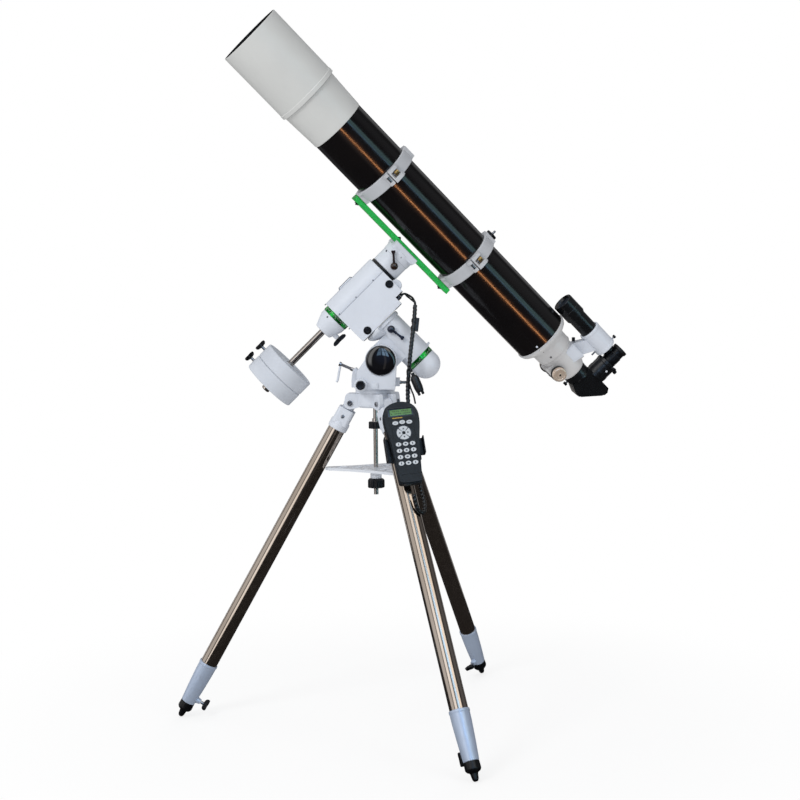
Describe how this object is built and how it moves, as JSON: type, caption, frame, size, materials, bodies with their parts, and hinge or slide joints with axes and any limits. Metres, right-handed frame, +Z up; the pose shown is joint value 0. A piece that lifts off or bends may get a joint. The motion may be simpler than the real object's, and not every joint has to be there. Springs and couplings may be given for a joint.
{
  "type": "refractor telescope",
  "caption": "Long refractor telescope on a German equatorial mount with counterweights, tubular tripod, accessory tray and wired hand controller.",
  "frame": {"origin": "bottom centre of the bounding box, leads left out", "axes": "+Z up, the tube points up towards -X and a little towards -Y, the hand controller faces -Y"},
  "size_m": [1.2432, 0.9554, 1.8572],
  "materials": {
    "tube_black": "gloss",
    "shield_white": "satin white paint",
    "cast_white": "satin white paint on cast metal",
    "ring_grey": "cast, light grey paint",
    "green_anodised": "anodised",
    "circle_green": "bright anodised",
    "stainless": "polished",
    "black_plastic": "satin",
    "lens_glass": "coated",
    "weight_grey": "fine textured grey paint",
    "satin_black": "satin black",
    "knob_bronze": "bright",
    "lever_dark": "dark",
    "lever_brown": "dark brown",
    "handset_slate": "satin",
    "keypad_grey": "matt",
    "cord_black": "satin"
  },
  "bodies": {
    "tripod": {"tripod_head": "cast_white"},
    "azimuth_base": {"fork_base": "cast_white", "altitude_cap": "black_plastic"},
    "polar_head": {"ra_housing": "cast_white", "ra_setting_circle": "circle_green", "ra_dome_cap": "cast_white"},
    "declination_head": {"dec_housing": "cast_white", "dec_setting_circle": "circle_green", "dec_end_cone": "cast_white", "lead_dec": "cord_black"},
    "tube_assembly": {"saddle": "cast_white", "dovetail_bar": "green_anodised", "ring_front_lower": "ring_grey", "ring_rear_lower": "ring_grey", "optical_tube": "tube_black", "objective_cell": "shield_white", "objective_lens": "lens_glass", "rear_flange": "cast_white", "focuser_body": "cast_white", "finder_bracket": "cast_white"},
    "dec_clutch": {"dec_clutch_lever": "lever_brown"},
    "ra_clutch": {"ra_clutch_lever": "lever_dark"},
    "saddle_knob_front": {"saddle_knob_front": "black_plastic"},
    "saddle_knob_rear": {"saddle_knob_rear": "black_plastic"},
    "shaft_lock": {"shaft_lock_knob": "black_plastic"},
    "weight_shaft": {"counterweight_shaft": "stainless"},
    "weight_upper": {"counterweight_upper": "weight_grey"},
    "weight_lower": {"counterweight_lower": "weight_grey"},
    "weight_knob_upper": {"weight_knob_upper": "black_plastic"},
    "weight_knob_lower": {"weight_knob_lower": "black_plastic"},
    "ring_front": {"ring_front_upper": "ring_grey"},
    "ring_rear": {"ring_rear_upper": "ring_grey"},
    "piggyback_knob": {"piggyback_knob": "black_plastic"},
    "focus_shaft": {"focus_knobs": "knob_bronze"},
    "drawtube": {"drawtube": "satin_black"},
    "diagonal": {"star_diagonal": "satin_black"},
    "eyepiece": {"eyepiece": "black_plastic"},
    "finder": {"finder_scope": "satin_black"},
    "dew_shield": {"dew_shield": "shield_white"},
    "azimuth_knob": {"azimuth_knob": "black_plastic"},
    "altitude_bolt_front": {"altitude_bolt_front": "stainless"},
    "altitude_bolt_rear": {"altitude_bolt_rear": "stainless"},
    "centre_rod": {"centre_rod": "stainless"},
    "tray": {"accessory_tray": "cast_white"},
    "tray_knob": {"tray_knob": "black_plastic"},
    "leg_left": {"leg_left_upper": "stainless"},
    "leg_left_lower": {"leg_left_lower": "black_plastic"},
    "leg_left_lock": {"leg_left_lock": "black_plastic"},
    "leg_front": {"leg_front_upper": "stainless", "handset_body": "handset_slate", "handset_holder": "black_plastic", "lead_bundle": "cord_black", "lead_power": "cord_black", "power_plug": "black_plastic"},
    "leg_front_lower": {"leg_front_lower": "black_plastic"},
    "leg_front_lock": {"leg_front_lock": "black_plastic"},
    "leg_rear": {"leg_rear_upper": "stainless"},
    "leg_rear_lower": {"leg_rear_lower": "black_plastic"},
    "leg_rear_lock": {"leg_rear_lock": "black_plastic"},
    "keypad": {"handset_keypad": "keypad_grey"}
  },
  "joints": [
    {"name": "azimuth", "type": "hinge", "parent": "tripod", "child": "azimuth_base", "pos_m": [-0.07223, 0.01859, 0.88596], "axis": [0, 0, 1], "range_deg": [-5, 5]},
    {"name": "altitude", "type": "hinge", "parent": "azimuth_base", "child": "polar_head", "pos_m": [-0.05523, 0.01859, 0.97396], "axis": [0, 1, 0], "range_deg": [-8, 8]},
    {"name": "right_ascension", "type": "hinge", "parent": "polar_head", "child": "declination_head", "pos_m": [-0.11553, 0.01859, 1.14366], "axis": [0.7009, 0, -0.7133], "range_deg": [-80, 80]},
    {"name": "declination", "type": "hinge", "parent": "declination_head", "child": "tube_assembly", "pos_m": [-0.11553, 0.01859, 1.14366], "axis": [0.7133, 0, 0.7009], "range_deg": [-90, 90]},
    {"name": "dec_clutch_turn", "type": "hinge", "parent": "tube_assembly", "child": "dec_clutch", "pos_m": [-0.01799, -0.02301, 1.21989], "axis": [0, 1, 0], "range_deg": [-30, 30]},
    {"name": "ra_clutch_turn", "type": "hinge", "parent": "polar_head", "child": "ra_clutch", "pos_m": [-0.02755, -0.02201, 1.05556], "axis": [0, 1, 0], "range_deg": [-30, 30]},
    {"name": "saddle_knob_front_turn", "type": "hinge", "parent": "tube_assembly", "child": "saddle_knob_front", "pos_m": [-0.00571, 0.06189, 1.28515], "axis": [-0.1802, 0.9664, 0.1834], "range_deg": [0, 90]},
    {"name": "saddle_knob_rear_turn", "type": "hinge", "parent": "tube_assembly", "child": "saddle_knob_rear", "pos_m": [0.02139, 0.07218, 1.25758], "axis": [-0.1802, 0.9664, 0.1834], "range_deg": [0, 90]},
    {"name": "shaft_lock_turn", "type": "hinge", "parent": "declination_head", "child": "shaft_lock", "pos_m": [-0.17024, 0.01859, 1.03241], "axis": [0.7009, 0, -0.7133], "range_deg": [0, 90]},
    {"name": "shaft_slide", "type": "slide", "parent": "declination_head", "child": "weight_shaft", "axis": [0.7133, 0, 0.7009], "range_m": [0, 0.06]},
    {"name": "weight_upper_slide", "type": "slide", "parent": "weight_shaft", "child": "weight_upper", "axis": [0.7133, 0, 0.7009], "range_m": [0, 0.055]},
    {"name": "weight_lower_slide", "type": "slide", "parent": "weight_shaft", "child": "weight_lower", "axis": [0.7133, 0, 0.7009], "range_m": [0, 0.055]},
    {"name": "weight_knob_upper_turn", "type": "hinge", "parent": "weight_upper", "child": "weight_knob_upper", "pos_m": [-0.37161, 0.01859, 1.01119], "axis": [-0.7009, 0, 0.7133], "range_deg": [0, 90]},
    {"name": "weight_knob_lower_turn", "type": "hinge", "parent": "weight_lower", "child": "weight_knob_lower", "pos_m": [-0.40107, 0.01859, 0.98224], "axis": [-0.7009, 0, 0.7133], "range_deg": [0, 90]},
    {"name": "ring_front_open", "type": "hinge", "parent": "tube_assembly", "child": "ring_front", "pos_m": [-0.05423, 0.05789, 1.47391], "axis": [-0.6773, -0.2571, 0.6893], "range_deg": [0, 90]},
    {"name": "ring_rear_open", "type": "hinge", "parent": "tube_assembly", "child": "ring_rear", "pos_m": [0.16049, 0.1394, 1.25541], "axis": [-0.6773, -0.2571, 0.6893], "range_deg": [0, 90]},
    {"name": "piggyback_turn", "type": "hinge", "parent": "ring_rear", "child": "piggyback_knob", "pos_m": [0.24045, 0.05485, 1.30245], "axis": [0.7133, 0, 0.7009], "range_deg": [0, 90]},
    {"name": "focus_turn", "type": "hinge", "parent": "tube_assembly", "child": "focus_shaft", "pos_m": [0.4156, 0.15667, 0.93803], "axis": [-0.1802, 0.9664, 0.1834], "range_deg": [0, 430]},
    {"name": "drawtube_slide", "type": "slide", "parent": "tube_assembly", "child": "drawtube", "axis": [0.6773, 0.2571, -0.6893], "range_m": [0, 0.058]},
    {"name": "diagonal_turn", "type": "hinge", "parent": "drawtube", "child": "diagonal", "pos_m": [0.48573, 0.17287, 0.92159], "axis": [0.6773, 0.2571, -0.6893], "range_deg": [-40, 40]},
    {"name": "eyepiece_slide", "type": "slide", "parent": "diagonal", "child": "eyepiece", "axis": [0.7133, 0, 0.7009], "range_m": [0, 0.03]},
    {"name": "finder_slide", "type": "slide", "parent": "tube_assembly", "child": "finder", "axis": [-0.6773, -0.2571, 0.6893], "range_m": [0, 0.04]},
    {"name": "dew_shield_slide", "type": "slide", "parent": "tube_assembly", "child": "dew_shield", "axis": [-0.6773, -0.2571, 0.6893], "range_m": [0, 0.04]},
    {"name": "azimuth_knob_turn", "type": "hinge", "parent": "azimuth_base", "child": "azimuth_knob", "pos_m": [-0.10823, -0.05771, 0.91096], "axis": [0, 1, 0], "range_deg": [0, 90]},
    {"name": "altitude_bolt_front_turn", "type": "hinge", "parent": "azimuth_base", "child": "altitude_bolt_front", "pos_m": [-0.16523, 0.01859, 0.96386], "axis": [0.9136, 0, -0.4065], "range_deg": [-40, 40]},
    {"name": "altitude_bolt_rear_turn", "type": "hinge", "parent": "azimuth_base", "child": "altitude_bolt_rear", "pos_m": [-0.00223, 0.01859, 0.91356], "axis": [1, 0, 0], "range_deg": [-40, 40]},
    {"name": "centre_rod_turn", "type": "hinge", "parent": "tripod", "child": "centre_rod", "pos_m": [-0.07223, 0.01859, 0.80196], "axis": [0, 0, 1], "range_deg": [0, 90]},
    {"name": "tray_slide", "type": "slide", "parent": "tripod", "child": "tray", "axis": [0, 0, -1], "range_m": [0, 0.08]},
    {"name": "tray_knob_turn", "type": "hinge", "parent": "tray", "child": "tray_knob", "pos_m": [-0.07223, 0.01859, 0.64396], "axis": [0, 0, 1], "range_deg": [0, 90]},
    {"name": "leg_left_spread", "type": "hinge", "parent": "tripod", "child": "leg_left", "pos_m": [-0.13727, 0.02314, 0.86016], "axis": [-0.0698, -0.9976, 0], "range_deg": [0, 8]},
    {"name": "leg_left_extend", "type": "slide", "parent": "leg_left", "child": "leg_left_lower", "axis": [-0.4877, 0.0341, -0.8724], "range_m": [0, 0.45]},
    {"name": "leg_left_lock_turn", "type": "hinge", "parent": "leg_left", "child": "leg_left_lock", "pos_m": [-0.55195, 0.05214, 0.03649], "axis": [0.8702, -0.0609, -0.4888], "range_deg": [0, 90]},
    {"name": "leg_front_spread", "type": "hinge", "parent": "tripod", "child": "leg_front", "pos_m": [-0.04365, -0.04001, 0.86016], "axis": [0.8988, 0.4384, 0], "range_deg": [0, 8]},
    {"name": "leg_front_extend", "type": "slide", "parent": "leg_front", "child": "leg_front_lower", "axis": [0.2143, -0.4394, -0.8724], "range_m": [0, 0.45]},
    {"name": "leg_front_lock_turn", "type": "hinge", "parent": "leg_front", "child": "leg_front_lock", "pos_m": [0.13858, -0.41364, 0.03649], "axis": [-0.3824, 0.7841, -0.4888], "range_deg": [0, 90]},
    {"name": "leg_rear_spread", "type": "hinge", "parent": "tripod", "child": "leg_rear", "pos_m": [-0.03577, 0.07264, 0.86016], "axis": [-0.829, 0.5592, 0], "range_deg": [0, 8]},
    {"name": "leg_rear_extend", "type": "slide", "parent": "leg_rear", "child": "leg_rear_lower", "axis": [0.2734, 0.4053, -0.8724], "range_m": [0, 0.45]},
    {"name": "leg_rear_lock_turn", "type": "hinge", "parent": "leg_rear", "child": "leg_rear_lock", "pos_m": [0.19668, 0.41727, 0.03649], "axis": [-0.4878, -0.7232, -0.4888], "range_deg": [0, 90]},
    {"name": "keypad_press", "type": "slide", "parent": "leg_front", "child": "keypad", "axis": [-0.0988, 0.9044, -0.415], "range_m": [0, 0.001], "stiffness_N_per_m": 800}
  ],
  "couplings": [
    {"joint": "weight_lower_slide", "follows": "weight_upper_slide", "ratio": 1},
    {"joint": "focus_turn", "follows": "drawtube_slide", "rad_per_m": 126.6},
    {"joint": "leg_left_spread", "follows": "tray_slide", "rad_per_m": 1.6},
    {"joint": "leg_front_spread", "follows": "tray_slide", "rad_per_m": 1.6},
    {"joint": "leg_rear_spread", "follows": "tray_slide", "rad_per_m": 1.6}
  ]
}
